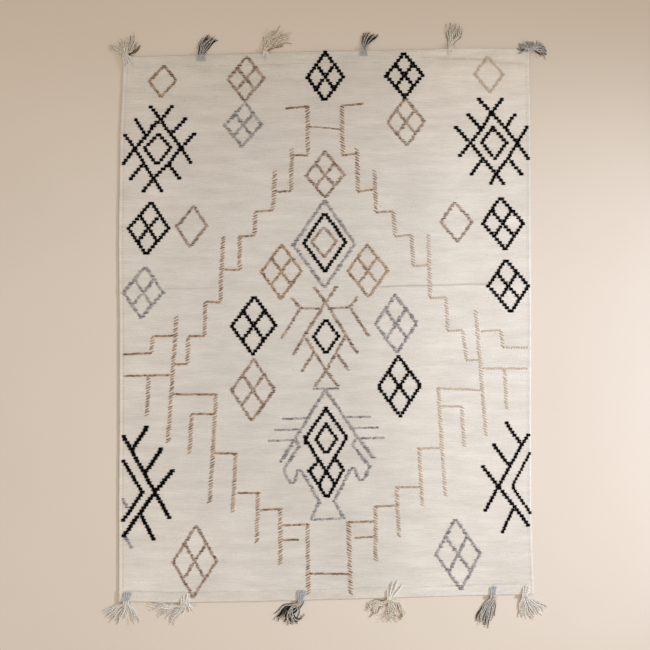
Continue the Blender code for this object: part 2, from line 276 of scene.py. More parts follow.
def makeClothMaterial():
    # undyed wool, flatwoven: matt and cream, streaked along the weft, with a little sheen at a low angle
    look = clothLook
    material, tree, shader = newMaterial("undyedWoolFlatweave", look["roughness"], look["sheen"])
    place = addNode(tree, "ShaderNodeTexCoord").outputs["Object"]
    noises = {}
    for name, (stretch, scale, detail, roughness) in look["noises"].items():
        vector = addNode(tree, "ShaderNodeMapping", {"Vector": place, "Scale": stretch})
        inputs = {"Vector": vector, "Scale": scale, "Detail": detail, "Roughness": roughness}
        noises[name] = addNode(tree, "ShaderNodeTexNoise", inputs)
    ramps = {}
    for name, (low, dark, high, pale) in look["ramps"].items():
        ramps[name] = addNode(tree, "ShaderNodeValToRGB", {"Fac": noises[name]})
        for element, share, colour in zip(ramps[name].color_ramp.elements, (low, high), (dark, pale)):
            element.position, element.color = share, linearColour(colour)
    inputs = {"Factor": 0.5, "A": ramps["slubs"], "B": ramps["bands"]}
    toned = addNode(tree, "ShaderNodeMix", inputs, data_type="RGBA")
    low, high = look["noiseRange"]
    for name, (dark, pale) in look["tones"].items():
        inputs = {"Value": noises[name], "From Min": low, "From Max": high, "To Min": dark, "To Max": pale}
        level = addNode(tree, "ShaderNodeMapRange", inputs)
        toned = addNode(tree, "ShaderNodeVectorMath", {0: toned, "Scale": level}, operation="SCALE")
    split = addNode(tree, "ShaderNodeSeparateXYZ", {"Vector": place}).outputs
    # painted light and shade: the cloth's colour scaled from left to right
    halfWidth = clothSize["width"] / 2
    inputs = {"Value": split["X"], "From Min": -halfWidth, "From Max": halfWidth}
    paintedLightRamp = addNode(tree, "ShaderNodeValToRGB", {"Fac": addNode(tree, "ShaderNodeMapRange", inputs)})
    paintedLightRamp.color_ramp.interpolation = "EASE"
    elements = paintedLightRamp.color_ramp.elements
    for number, (share, level) in enumerate(look["paintedLightAcross"]):
        element = elements.new(share) if number > 1 else elements[number]
        element.position, element.color = share, (level, level, level, 1)
    toned = addNode(tree, "ShaderNodeVectorMath", {0: toned, 1: paintedLightRamp}, operation="MULTIPLY")
    # painted light and shade in three wide soft patches
    for x, y, reachX, reachY, paintedLift in paintedLightPatches:
        inputs = {
            "Vector": place,
            "Location": (-x / reachX, -y / reachY, 0),
            "Scale": (1 / reachX, 1 / reachY, 0),
        }
        nearness = addNode(tree, "ShaderNodeMapping", inputs)
        distance = addNode(tree, "ShaderNodeVectorMath", {0: nearness}, operation="LENGTH")
        inputs = {"Value": distance, "To Min": 1 + paintedLift, "To Max": 1.0}
        level = addNode(tree, "ShaderNodeMapRange", inputs, interpolation_type="SMOOTHSTEP")
        toned = addNode(tree, "ShaderNodeVectorMath", {0: toned, "Scale": level}, operation="SCALE")
    low, high, most = look["speckRange"]
    inputs = {"Value": noises["specks"], "From Min": low, "From Max": high, "To Max": most}
    speckMask = addNode(tree, "ShaderNodeMapRange", inputs)
    # painted shade along the fold lines and on the right edge, added to the specks
    paintedShade = addNode(tree, "ShaderNodeAttribute", attribute_name="paintedShade").outputs["Fac"]
    darker = addNode(tree, "ShaderNodeMath", {0: speckMask, 1: paintedShade}, operation="ADD", use_clamp=True)
    inputs = {"Factor": darker, "A": toned, "B": linearColour(look["paintedShade"])}
    colour = addNode(tree, "ShaderNodeMix", inputs, data_type="RGBA")
    tree.links.new(colour.outputs["Result"], shader.inputs["Base Color"])

    # relief: weft rows that change over from warp to warp, with a little unevenness
    turns = {0: split["X"], 1: 2 * math.pi / look["warpPitch"]}
    warpTurn = addNode(tree, "ShaderNodeMath", turns, operation="MULTIPLY")
    warpWave = addNode(tree, "ShaderNodeMath", {0: warpTurn}, operation="SINE")
    slubShift = addNode(tree, "ShaderNodeMath", {0: noises["slubs"], 1: 5.0}, operation="MULTIPLY")
    turns = {0: split["Y"], 1: 2 * math.pi / look["weftPitch"], 2: slubShift}
    weftTurn = addNode(tree, "ShaderNodeMath", turns, operation="MULTIPLY_ADD")
    changeOver = addNode(tree, "ShaderNodeMath", {0: warpWave, 1: 1.3, 2: weftTurn}, operation="MULTIPLY_ADD")
    relief = addNode(tree, "ShaderNodeMath", {0: changeOver}, operation="SINE")
    for name, share in (("fibres", 0.9), ("slubs", 1.6)):
        inputs = {0: noises[name], 1: share, 2: relief}
        relief = addNode(tree, "ShaderNodeMath", inputs, operation="MULTIPLY_ADD")
    bump = addNode(tree, "ShaderNodeBump", {"Height": relief, "Strength": 0.55, "Distance": look["bump"]})
    tree.links.new(bump.outputs["Normal"], shader.inputs["Normal"])
    return material


def gridShares(count, span, fromEnds):  # shares from -1 to 1, closer together at distances from both ends
    half, gap = span / 2, clothSize["gridGap"]
    even = [-half + i * span / count for i in range(count + 1)]
    extra = [side * (half - d * mm) for side in (-1, 1) for d in fromEnds]
    kept = [p for p in even if abs(abs(p) - half) < 1e-9 or all(abs(p - e) > gap for e in extra)]
    return [p / half for p in sorted(kept + extra)]


def makeCloth(material):
    hem = clothSize["hemWidth"] / mm
    extraRows = [*clothSize["extraRows"], *(hem + beside for beside in clothSize["besideSeam"])]
    rows = gridShares(clothSize["rows"], clothSize["length"], extraRows)
    columns = gridShares(clothSize["columns"], clothSize["width"], clothSize["extraColumns"])
    halfWidth, halfLength = clothSize["width"] / 2, clothSize["length"] / 2
    rim = clothSize["edgeRound"]
    rimTop, rimMiddle = clothSize["rimShares"]
    points, faces = [], []

    def wobble(x, y):
        return clothSize["edgeWobble"] * noise.noise(Vector((x * 26, y * 26, 8.0)))

    def addRing(inset, heightOf):
        ring = {}
        for r, along in enumerate(rows):
            for c, across in enumerate(columns):
                if r in (0, len(rows) - 1) or c in (0, len(columns) - 1):
                    ring[r, c] = len(points)
                    points.append(rimPoint(across, along, inset, heightOf))
        return ring

    def rimPoint(across, along, inset, heightOf):
        x, y = onFloor(across, along)
        push = wobble(x, y) - inset
        if abs(across) == 1:
            x += math.copysign(push, across)
        if abs(along) == 1:
            y += math.copysign(push, along)
        return x, y, heightOf(x, along * halfLength)

    top = {}
    for r, along in enumerate(rows):
        for c, across in enumerate(columns):
            top[r, c] = len(points)
            if r in (0, len(rows) - 1) or c in (0, len(columns) - 1):
                points.append(rimPoint(across, along, rim, lambda x, y: faceHeight(x, y) * rimTop))
                continue
            x, y = onFloor(across, along)
            fromSide = (1 - abs(across)) * halfWidth
            height = faceHeight(x, along * halfLength)
            onCord = smoothStep(1 - abs(fromSide - clothSize["selvedgeFrom"]) / clothSize["selvedgeWidth"])
            height += clothSize["selvedgeRise"] * onCord
            inGroove = smoothStep(1 - abs(fromSide - clothSize["grooveFrom"]) / clothSize["grooveWidth"])
            height -= clothSize["selvedgeGroove"] * inGroove
            points.append((x, y, height))
    middle = addRing(0, lambda x, y: faceHeight(x, y) * rimMiddle)
    bottom = addRing(rim * 0.6, lambda x, y: 0.0)
    lastRow, lastColumn = len(rows) - 1, len(columns) - 1
    for r in range(lastRow):
        for c in range(lastColumn):
            faces.append((top[r, c], top[r, c + 1], top[r + 1, c + 1], top[r + 1, c]))
    loop = [(0, c) for c in range(lastColumn)] + [(r, lastColumn) for r in range(lastRow)]
    loop += [(lastRow, c) for c in range(lastColumn, 0, -1)] + [(r, 0) for r in range(lastRow, 0, -1)]
    for here, following in zip(loop, loop[1:] + loop[:1]):
        for upper, lower in ((top, middle), (middle, bottom)):
            faces.append((lower[here], lower[following], upper[following], upper[here]))
    for r in range(1, lastRow - 1):
        faces.append((bottom[r, 0], bottom[r + 1, 0], bottom[r + 1, lastColumn], bottom[r, lastColumn]))
    faces.append([bottom[0, c] for c in range(lastColumn, -1, -1)] + [bottom[1, 0], bottom[1, lastColumn]])
    farEnd = [bottom[lastRow, c] for c in range(lastColumn + 1)]
    faces.append(farEnd + [bottom[lastRow - 1, lastColumn], bottom[lastRow - 1, 0]])
    cloth = plainObject("kilimCloth", points, faces, material)
    for polygon in cloth.data.polygons:
        polygon.use_smooth = True
    paintedShade = cloth.data.attributes.new("paintedShade", "FLOAT", "POINT")
    # painted shade along the fold lines
    for (r, c), number in top.items():
        x, yFlat = points[number][0], rows[r] * halfLength
        paintedShade.data[number].value = max(line[6] * foldStrength(line, x, yFlat) for line in foldLines)
    for ring, strength in ((top, 0.5), (middle, 1.0), (bottom, 1.0)):  # painted shade on the right edge, which faces the key lamp
        for r in range(len(rows)):
            paintedShade.data[ring[r, lastColumn]].value = clothSize["edgePaintedShade"] * strength
    return cloth


clothMaterial = makeClothMaterial()
cloth = makeCloth(clothMaterial)
print("cloth:", len(cloth.data.polygons), "faces")


# brocade: extra wefts laid in row by row. The chart is in millimetres of the flat rug, from its middle

brocadeSize = {
    "warpPitch": 2.5,  # a stitch starts and stops at a warp
    "pile": 2.6 * mm,
    "sunk": 0.15 * mm,
    "lineLength": 9.0,
    "lineHigh": 8.0,
    "lineUneven": (0.9, 0.3),  # place and turn
    "hatchPitch": 9.8,
    "hatchUneven": (1.6, 1.4, 9),  # place across and along, and turn in degrees
    "hatchTurn": 30.0,
    "hatchLength": 19.5,
    "hatchHigh": 4.3,
    "turnSpread": 0.03,
    "seed": 11,
}
# how each yarn is laid: rows a step keeps, rows' pitch, height, least width, unevenness of width and of
# place, then its looks: spread of tone, sheen, gloss
yarnLay = {
    "black": (2, 5.7, 6.2, 7.7, 0.08, 0.8, 0.5, 0.0, 0.03),
    "grey": (1, 6.2, 5.9, 11.2, 0.32, 2.0, 1.0, 0.15, 0.2),
    "brown": (1, 6.2, 5.9, 9.6, 0.30, 1.7, 1.0, 0.15, 0.2),
    "tan": (1, 6.2, 5.9, 9.2, 0.28, 1.6, 1.0, 0.15, 0.2),
}
yarnColours = {
    "black": ("#060505", "#191715"),
    "grey": ("#6C6C72", "#C6C2BF"),
    "brown": ("#644E3E", "#C6B2A1"),
    "tan": ("#6F5138", "#C6AB90"),
}
yarnPaintedLight = {"tan": 0.62, "brown": 0.12}  # how much paler the right side's yarn is painted: painted light
paintedLightYarn = {"colour": "#E9DDCF", "from": 0.10, "to": 0.42}  # metres to the right of the middle

strokes = []  # yarn, kind, the two ends, and how wide against the yarn's usual width


def stroke(yarn, *places, kind="slope", wide=1.0):
    for start, stop in zip(places, places[1:]):
        strokes.append((yarn, kind, start, stop, wide))


def diamond(yarn, x, y, halfWidth, halfHeight, quartered=False, wide=1.0):
    lean = -0.0135 * x * (0.55 if y > 800 else 1.0)  # each leans a little towards the middle
    top, bottom = (x + lean, y + halfHeight), (x - lean, y - halfHeight)
    stroke(yarn, top, (x + halfWidth, y), bottom, (x - halfWidth, y), top, wide=wide)
    if quartered:
        w, h = halfWidth / 2, halfHeight / 2
        stroke(yarn, (x - w + lean / 2, y + h), (x + w - lean / 2, y - h))
        stroke(yarn, (x + w + lean / 2, y + h), (x - w - lean / 2, y - h))


# x, y, half width, half height, yarn: diamonds with a cross inside, then plain ones
quarteredDiamonds = [
    (-296, 909, 67, 81, "brown"),
    (-4, 908, 66, 88, "black"),
    (288, 909, 67, 80, "black"),
    (-300, 742, 67, 80, "grey"),
    (295, 738, 67, 87, "brown"),
    (0, 550, 69, 84, "brown"),
    (-642, 370, 73, 96, "black"),
    (649, 361, 73, 95, "black"),
    (-662, 135, 72, 95, "grey"),
    (668, 131, 73, 96, "black"),
    (-158, 202, 73, 99, "tan"),
    (157, 197, 73, 96, "tan"),
    (-262, 7, 80, 106, "black"),
    (259, 1, 75, 106, "grey"),
    (-263, -229, 78, 113, "brown"),
    (270, -228, 77, 110, "black"),
    (-475, -851, 79, 131, "brown"),
    (481, -849, 80, 130, "grey"),
]
plainDiamonds = [
    (-603, 909, 49, 58, "tan"),
    (600, 906, 52, 65, "tan"),
    (-484, 375, 55, 75, "brown"),
    (480, 367, 57, 73, "brown"),
]
for kept, quartered in ((quarteredDiamonds, True), (plainDiamonds, False)):
    for x, y, halfWidth, halfHeight, yarn in kept:
        diamond(yarn, x, y, halfWidth, halfHeight, quartered)
# the two barbed crosses: four long lines, four barbs and a diamond each
stroke("black", (-643, 817), (-604, 767), (-566, 714), (-527, 664), (-487, 602))
stroke("black", (-560, 821), (-604, 767), (-630, 749), (-655, 708), (-697, 664), (-742, 605))
stroke("black", (-737, 718), (-698, 666), (-664, 610), (-627, 553), (-595, 504))
stroke("black", (-478, 715), (-527, 664), (-575, 604), (-627, 553), (-664, 506))
for start, stop in (((-696, 773), (-655, 708)), ((-515, 767), (-566, 714)),
                    ((-716, 547), (-664, 610)), ((-531, 551), (-575, 606))):
    stroke("black", start, stop)
stroke("black", (-610, 716), (-566, 665), (-615, 602), (-661, 664), (-610, 716), wide=0.94)
stroke("black", (562, 813), (608, 766), (657, 710), (701, 655), (741, 598))
stroke("black", (646, 816), (608, 766), (570, 705), (530, 655), (489, 604))
stroke("black", (478, 710), (530, 655), (575, 599), (624, 543), (654, 502))
stroke("black", (736, 711), (701, 655), (668, 599), (624, 543), (601, 502))
for start, stop in (((515, 766), (570, 705)), ((697, 766), (657, 710)),
                    ((533, 540), (575, 599)), ((717, 540), (668, 601))):
    stroke("black", start, stop)
stroke("black", (612, 710), (663, 657), (619, 596), (571, 659), (612, 710), wide=0.94)
# two more, cut in half by the selvedges
stroke("black", (-736, -392), (-620, -598), (-568, -689), wide=1.3)
stroke("black", (-556, -518), (-620, -598), (-734, -761), wide=1.3)
for barb in (((-652, -362), (-702, -440)), ((-599, -441), (-655, -524)), ((-672, -678), (-622, -775))):
    stroke("black", *barb, wide=1.3)
stroke("black", (-736, -482), (-666, -600), (-736, -704), wide=1.15)
stroke("black", (745, -409), (716, -452), (631, -604), (580, -694), wide=1.05)
stroke("black", (571, -525), (631, -604), (689, -678), (744, -754), wide=1.05)
for barb in (((662, -373), (714, -450)), ((614, -450), (672, -530)), ((689, -679), (641, -776))):
    stroke("black", *barb, wide=1.05)
stroke("black", (746, -481), (681, -604), (746, -700), wide=0.85)
stroke("grey", (-737, -621), (-719, -656))
stroke("grey", (-725, -766), (-701, -806))

# the centre: three diamonds in one another
diamond("grey", -1, 297, 112, 160)
diamond("black", 0, 304, 76, 107)
diamond("brown", -1, 305, 45, 55)

# below it a branching figure with a small diamond inside
for side in (-1, 1):
    stroke("brown", (2 + side * 39, 138), (2, 84), (side * 76, -36), (side * 116, -104))
    stroke("brown", (side * 76, -36), (4, -166), (4 + side * -42, -223))
    stroke("brown", (side * 120, 104), (side * 90, 66), (side * 158, -42))
    stroke("brown", (side * 20, 62), (side * 90, 65), kind="line")
    stroke("brown", (side * 42, -102), (side * 84, -164))
diamond("black", 2, -40, 45, 64, wide=0.9)

# and a grey one with its rays, wings and foot
rays = (-163.5, -496), (-108.5, -412), (-40.5, -300), (1.5, -237), (46.5, -299), (119.5, -412), (175.5, -486)
stroke("grey", *rays)
for x, y, reach in ((66, -336, 95), (97, -376, 92), (116, -414, 96)):
    for side in (-1, 1):
        stroke("grey", (3.5 + side * x, y - 1), (5.5 + side * (x + reach), y - 1), kind="line")
stroke("grey", (-106.5, -414), (-93.5, -437), (-123.5, -481), (-149.5, -522), (-126.5, -571))
stroke("grey", (-129.5, -571), (-109.5, -570), kind="line")
stroke("grey", (-109.5, -569), (-99.5, -531))
stroke("grey", (-104.5, -527), (-84.5, -527), kind="line")
stroke("grey", (-84, -530), (-20, -642), (-50, -706))
stroke("grey", (116.5, -414), (101.5, -437), (136.5, -484), (162.5, -517), (144.5, -563))
stroke("grey", (146.5, -566), (122.5, -567), kind="line")
stroke("grey", (122.5, -564), (109.5, -528))
stroke("grey", (113.5, -523), (94.5, -523), kind="line")
stroke("grey", (95, -527), (33, -642), (70, -705))
stroke("grey", (-43.5, -230), (50.5, -231), kind="line")
stroke("grey", (-50, -708), (74, -705), kind="line")
diamond("black", 3.5, -414.5, 37, 55, wide=0.96)
stroke("black", (1.5, -303.5), (78.5, -410.5), (4.5, -532.5), (-23, -580))
stroke("black", (1.5, -303.5), (-73.5, -412), (4.5, -532.5), (35, -578))
stroke("black", (-21, -491), (-57, -528), (0, -622))
stroke("black", (35, -487), (67, -526), (12.5, -622))
stroke("black", (0, -625), (16, -625), kind="line")
stroke("black", (-72.5, -405.5), (-68.5, -431.5), wide=1.7)

# the stepped line of each half: from, to
stepsLeft = [
    (-147, 797, -62, 802), (-67, 800, -63, 622), (-117, 625, -63, 623), (-122, 649, -124, 494),
    (-180, 493, -124, 495), (-183, 571, -189, 424), (-253, 423, -188, 427), (-253, 423, -254, 335),
    (-312, 334, -253, 336), (-309, 336, -310, 212), (-364, 214, -309, 211), (-369, 336, -382, 95),
    (-434, 98, -382, 94), (-436, 99, -440, -27), (-498, -27, -440, -27), (-498, -27, -503, -129),
    (-548, -129, -503, -128), (-542, 47, -574, -416), (-554, -24, -630, -26), (-629, -26, -634, -89),
    (-633, -88, -736, -92), (-734, -172, -564, -168), (-643, -169, -650, -319), (-554, -238, -394, -242),
    (-398, -241, -420, -640), (-488, -312, -404, -313), (-487, -313, -494, -456), (-404, -456, -324, -460),
    (-326, -458, -336, -676), (-318, -604, -239, -605), (-243, -604, -249, -786), (-235, -668, -159, -664),
    (-163, -664, -165, -870), (-155, -726, -61, -724), (-155, -780, -97, -779), (-64, -724, -65, -982),
]
stepsRight = [
    (140, 808, 60, 801), (60, 802, 64, 621), (62, 620, 116, 626), (115, 646, 121, 486),
    (121, 486, 181, 494), (181, 565, 187, 410), (187, 410, 251, 412), (251, 412, 257, 320),
    (257, 320, 318, 325), (318, 325, 323, 211), (323, 210, 379, 212), (379, 326, 383, 92),
    (383, 91, 443, 92), (441, 95, 448, -30), (447, -31, 502, -29), (502, -29, 517, -140),
    (515, -140, 565, -138), (549, 42, 589, -418), (570, -34, 642, -31), (641, -31, 649, -94),
    (648, -94, 741, -95), (575, -170, 739, -172), (655, -171, 664, -324), (569, -250, 411, -240),
    (413, -239, 440, -636), (419, -305, 501, -309), (499, -308, 508, -458), (421, -458, 343, -458),
    (343, -457, 356, -670), (347, -598, 257, -596), (262, -596, 269, -780), (266, -664, 184, -665),
    (184, -664, 182, -866), (180, -720, 84, -720), (176, -776, 108, -779), (85, -720, 88, -984),
]
for x0, y0, x1, y1 in stepsLeft + stepsRight + [(-60, -905, 80, -909)]:
    stroke("tan", (x0, y0), (x1, y1), kind="line" if abs(x1 - x0) > abs(y1 - y0) else "hatch")
stroke("tan", (-60, 727), (58, 716), kind="line", wide=0.6)


def chartStitches():  # every stroke as places, turns, lengths and heights of stitches
    stitches = {yarn: [] for yarn in yarnColours}
    uneven = random.Random(brocadeSize["seed"])
    warp = brocadeSize["warpPitch"]
    lineShift, lineTurn = brocadeSize["lineUneven"]
    hatchX, hatchY, hatchTurn = brocadeSize["hatchUneven"]
    taken = set()
    for yarn, kind, (x0, y0), (x1, y1), wider in strokes:
        kept, pitch, rowHigh, leastWidth, raggedWidth, raggedPlace = yarnLay[yarn][:6]
        if kind == "line":
            length = math.hypot(x1 - x0, y1 - y0)
            count = max(2, round(length / brocadeSize["lineLength"]))
            turn = math.atan2(y1 - y0, x1 - x0)
            for i in range(count):
                share = (i + 0.5) / count
                x = x0 + (x1 - x0) * share
                y = y0 + (y1 - y0) * share + uneven.uniform(-lineShift, lineShift)
                stitchTurn = turn + uneven.uniform(-lineTurn, lineTurn)
                high = brocadeSize["lineHigh"] * wider
                stitches[yarn].append((x, y, stitchTurn, length / count * 1.2, high))
            continue
        if kind == "hatch":
            count = max(2, round(abs(y1 - y0) / brocadeSize["hatchPitch"]))
            for i in range(count):
                share = (i + 0.5) / count
                x = x0 + (x1 - x0) * share + uneven.uniform(-hatchX, hatchX)
                y = y0 + (y1 - y0) * share + uneven.uniform(-hatchY, hatchY)
                turn = math.copysign(brocadeSize["hatchTurn"], -x0) + uneven.uniform(-hatchTurn, hatchTurn)
                length = brocadeSize["hatchLength"] * uneven.uniform(0.82, 1.1)
                stitches[yarn].append((x, y, math.radians(turn), length, brocadeSize["hatchHigh"]))
            continue
        low, high = sorted((y0, y1))
        step = kept * pitch  # rows in one step of the stair
        width = (leastWidth + 0.95 * step * abs((x1 - x0) / (y1 - y0))) * wider
        for level in range(math.floor(low / step), math.floor(high / step) + 1):
            middle = (level + 0.5) * step
            if not low - step * 0.3 <= middle <= high + step * 0.3:
                continue
            share = max(0.0, min(1.0, (middle - y0) / (y1 - y0)))
            x = round((x0 + (x1 - x0) * share) / warp) * warp + uneven.uniform(-raggedPlace, raggedPlace)
            if (yarn, level, round(x / 5)) in taken:
                continue
            taken.add((yarn, level, round(x / 5)))
            for row in range(kept):
                y = (level + (row + 0.5) / kept) * step + uneven.uniform(-0.3, 0.3)
                wide = width * (1 + uneven.uniform(-raggedWidth, raggedWidth))
                stitchX = x + uneven.uniform(-0.5, 0.5)
                stitches[yarn].append((stitchX, y, math.radians(uneven.uniform(-4, 4)), wide, rowHigh))
    return stitches


# noises, tone range and relief of every yarn
yarnLook = {
    "roughness": 0.88,
    "fuzz": {"Scale": 700.0, "Detail": 3.0, "Roughness": 0.7},
    "patches": {"Scale": 150.0, "Detail": 2.0},
    "toneRange": (0.4, 1.5),
    "fuzzRelief": 0.8,
    "bump": 0.3 * mm,
}


def makeYarnMaterial(name, colours, lay=3.0 * mm, rootColour=None, sheen=0.15, specular=0.2, paintedLightShare=0.0):
    # wool yarn: matt and a little fuzzy, with the twist of its plies and a shade of its own for each length.
    # tone is that shade, along and around run over a yarn's surface, rooted is 1 on the hem
    material, tree, shader = newMaterial(name, yarnLook["roughness"], sheen, specular)
    place = addNode(tree, "ShaderNodeTexCoord").outputs["Object"]
    marks = {}
    for mark in ("tone", "along", "around", "rooted"):
        marks[mark] = addNode(tree, "ShaderNodeAttribute", attribute_name=mark).outputs["Fac"]
    fuzz = addNode(tree, "ShaderNodeTexNoise", {"Vector": place, **yarnLook["fuzz"]})
    patches = addNode(tree, "ShaderNodeTexNoise", {"Vector": place, **yarnLook["patches"]})
    ply = addNode(tree, "ShaderNodeMath", {0: marks["along"], 1: 2 * math.pi / lay}, operation="MULTIPLY")
    turns = {0: marks["around"], 1: 4 * math.pi, 2: ply}  # two plies
    twist = addNode(tree, "ShaderNodeMath", turns, operation="MULTIPLY_ADD")
    twistWave = addNode(tree, "ShaderNodeMath", {0: twist}, operation="SINE")
    shade = marks["tone"]
    for texture in (fuzz, patches):
        shade = addNode(tree, "ShaderNodeMath", {0: texture, 1: 0.5, 2: shade}, operation="MULTIPLY_ADD")
    low, high = yarnLook["toneRange"]
    level = addNode(tree, "ShaderNodeMapRange", {"Value": shade, "From Min": low, "From Max": high})
    dark, light = map(linearColour, colours)
    colour = addNode(tree, "ShaderNodeMix", {"Factor": level, "A": dark, "B": light}, data_type="RGBA")
    overlays = []  # a share and the colour it brings
    # painted light: the yarn turns paler towards the right
    if paintedLightShare:
        across = addNode(tree, "ShaderNodeSeparateXYZ", {"Vector": place}).outputs["X"]
        low, high = paintedLightYarn["from"], paintedLightYarn["to"]
        inputs = {"Value": across, "From Min": low, "From Max": high, "To Max": paintedLightShare}
        overlays.append((addNode(tree, "ShaderNodeMapRange", inputs), paintedLightYarn["colour"]))
    if rootColour:
        overlays.append((marks["rooted"], rootColour))
    for share, over in overlays:
        inputs = {"Factor": share, "A": colour, "B": linearColour(over)}
        colour = addNode(tree, "ShaderNodeMix", inputs, data_type="RGBA")
    tree.links.new(colour.outputs["Result"], shader.inputs["Base Color"])
    inputs = {0: fuzz, 1: yarnLook["fuzzRelief"], 2: twistWave}
    relief = addNode(tree, "ShaderNodeMath", inputs, operation="MULTIPLY_ADD")
    bump = addNode(tree, "ShaderNodeBump", {"Height": relief, "Strength": 0.6, "Distance": yarnLook["bump"]})
    tree.links.new(bump.outputs["Normal"], shader.inputs["Normal"])
    return material


def makeStitchShape():  # a pill of unit length, width and height, rounded at its ends and flat below
    angles = [math.radians(degrees) for degrees in (-12, 22, 60, 90, 120, 158, 192)]
    profile = [(math.cos(angle), math.sin(angle)) for angle in angles]
    stations = [(-0.5, 0.30), (-0.42, 0.78), (-0.2, 1.0), (0.2, 1.0), (0.42, 0.78), (0.5, 0.30)]
    points, faces = [], []
    for x, size in stations:
        points += [(x, py * 0.5 * size, pz * size) for py, pz in profile]
    n = len(profile)
    for i in range(len(stations) - 1):
        for k in range(n - 1):
            a = i * n + k
            faces.append((a, a + n, a + n + 1, a + 1))
    faces.append(tuple(range(n)))
    faces.append(tuple(range((len(stations) - 1) * n, len(stations) * n))[::-1])
    shape = plainObject("stitchShape", points, faces, clothMaterial)
    for polygon in shape.data.polygons:
        polygon.use_smooth = True
    return shape


def newTree(name, inputs):  # a geometry tree with named inputs, and its start
    tree = bpy.data.node_groups.new(name, "GeometryNodeTree")
    for key, kind in (("Geometry", "Geometry"), *inputs, ("Yarn", "Material")):
        tree.interface.new_socket(name=key, in_out="INPUT", socket_type="NodeSocket" + kind)
    tree.interface.new_socket(name="Geometry", in_out="OUTPUT", socket_type="NodeSocketGeometry")
    return tree, addNode(tree, "NodeGroupInput").outputs


def endTree(tree, geometry, yarn):  # made real and given its material
    real = addNode(tree, "GeometryNodeRealizeInstances", {"Geometry": geometry})
    coloured = addNode(tree, "GeometryNodeSetMaterial", {"Geometry": real, "Material": yarn})
    addNode(tree, "NodeGroupOutput", {"Geometry": coloured})
    return tree


def stitchTree():
    inputs = ("Stitch", "Object"), ("Tone spread", "Float"), ("Turn spread", "Float"), ("Seed", "Int")
    tree, start = newTree("laidStitches", inputs)
    turn = addNode(tree, "GeometryNodeInputNamedAttribute", {"Name": "turn"}, data_type="FLOAT")
    size = addNode(tree, "GeometryNodeInputNamedAttribute", {"Name": "size"}, data_type="FLOAT_VECTOR")
    least = addNode(tree, "ShaderNodeMath", {0: 0.0, 1: start["Turn spread"]}, operation="SUBTRACT")
    spread = {2: least, 3: start["Turn spread"], "Seed": start["Seed"]}
    shake = addNode(tree, "FunctionNodeRandomValue", spread, data_type="FLOAT")
    turned = addNode(tree, "ShaderNodeMath", {0: turn, 1: shake}, operation="ADD")
    rotation = addNode(tree, "ShaderNodeCombineXYZ", {"Z": turned})
    shape = addNode(tree, "GeometryNodeObjectInfo", {"Object": start["Stitch"]}).outputs["Geometry"]
    laying = {"Points": start["Geometry"], "Instance": shape, "Rotation": rotation, "Scale": size}
    laid = addNode(tree, "GeometryNodeInstanceOnPoints", laying)
    spread = {2: 0.0, 3: start["Tone spread"], "Seed": start["Seed"]}
    tone = addNode(tree, "FunctionNodeRandomValue", spread, data_type="FLOAT")
    mark = {"Geometry": laid, "Name": "tone", "Value": tone}
    toned = addNode(tree, "GeometryNodeStoreNamedAttribute", mark, data_type="FLOAT", domain="INSTANCE")
    return endTree(tree, toned, start["Yarn"])


def runTree(tree, carrier, values, name):  # the tree's result as a plain mesh object
    modifier = carrier.modifiers.new("nodes", "NODES")
    modifier.node_group = tree
    sockets = {item.name: item.identifier for item in tree.interface.items_tree if item.in_out == "INPUT"}
    for key, value in values.items():
        modifier[sockets[key]] = value
    evaluated = carrier.evaluated_get(bpy.context.evaluated_depsgraph_get())
    mesh = bpy.data.meshes.new_from_object(evaluated)
    mesh.name = name
    piece = bpy.data.objects.new(name, mesh)
    scene.collection.objects.link(piece)
    carrier.modifiers.remove(modifier)
    bpy.data.objects.remove(carrier)
    return piece


def layStitches(name, rows, material, toneSpread=0.6, high=brocadeSize["pile"], sunk=brocadeSize["sunk"]):
    points = []
    for s, t, *_ in rows:
        x, y, z = surfaceAt(s, t)
        points.append((x, y, z - sunk))
    carrier = plainObject(name + "Points", points, [], material)
    turns = carrier.data.attributes.new("turn", "FLOAT", "POINT")
    sizes = carrier.data.attributes.new("size", "FLOAT_VECTOR", "POINT")
    for i, (s, t, turn, length, width) in enumerate(rows):
        turns.data[i].value = turn + clothSize["slant"]
        sizes.data[i].vector = (length * mm, width * mm, high)
    values = {
        "Stitch": stitchShape,
        "Tone spread": toneSpread,
        "Turn spread": brocadeSize["turnSpread"],
        "Seed": brocadeSize["seed"],
        "Yarn": material,
    }
    return runTree(laidTree, carrier, values, name)


stitchShape = makeStitchShape()
laidTree = stitchTree()
brocadePieces = []
for yarn, rows in chartStitches().items():
    toneSpread, sheen, gloss = yarnLay[yarn][6:]
    looks = {"sheen": sheen, "specular": gloss, "paintedLightShare": yarnPaintedLight.get(yarn, 0.0)}
    material = makeYarnMaterial(yarn + "WoolYarn", yarnColours[yarn], **looks)
    piece = layStitches(yarn + "Brocade", rows, material, toneSpread=toneSpread)
    brocadePieces.append(piece)
    print("brocade:", yarn, len(rows), "stitches")


# sewing: both hem seams and a row of stitches inside each selvedge

sewingSize = {
    "pitch": 9.0,
    "length": 5.5,
    "width": 1.3,
    "high": 0.7 * mm,
    "selvedgeInset": 15.0,
    "selvedgeStitch": (4.0, 1.4),
    "seamLong": 1480,
    "selvedgeLong": 1900,
    "seamFrom": 958,  # millimetres from the middle to the seam
    "seed": 5,
}
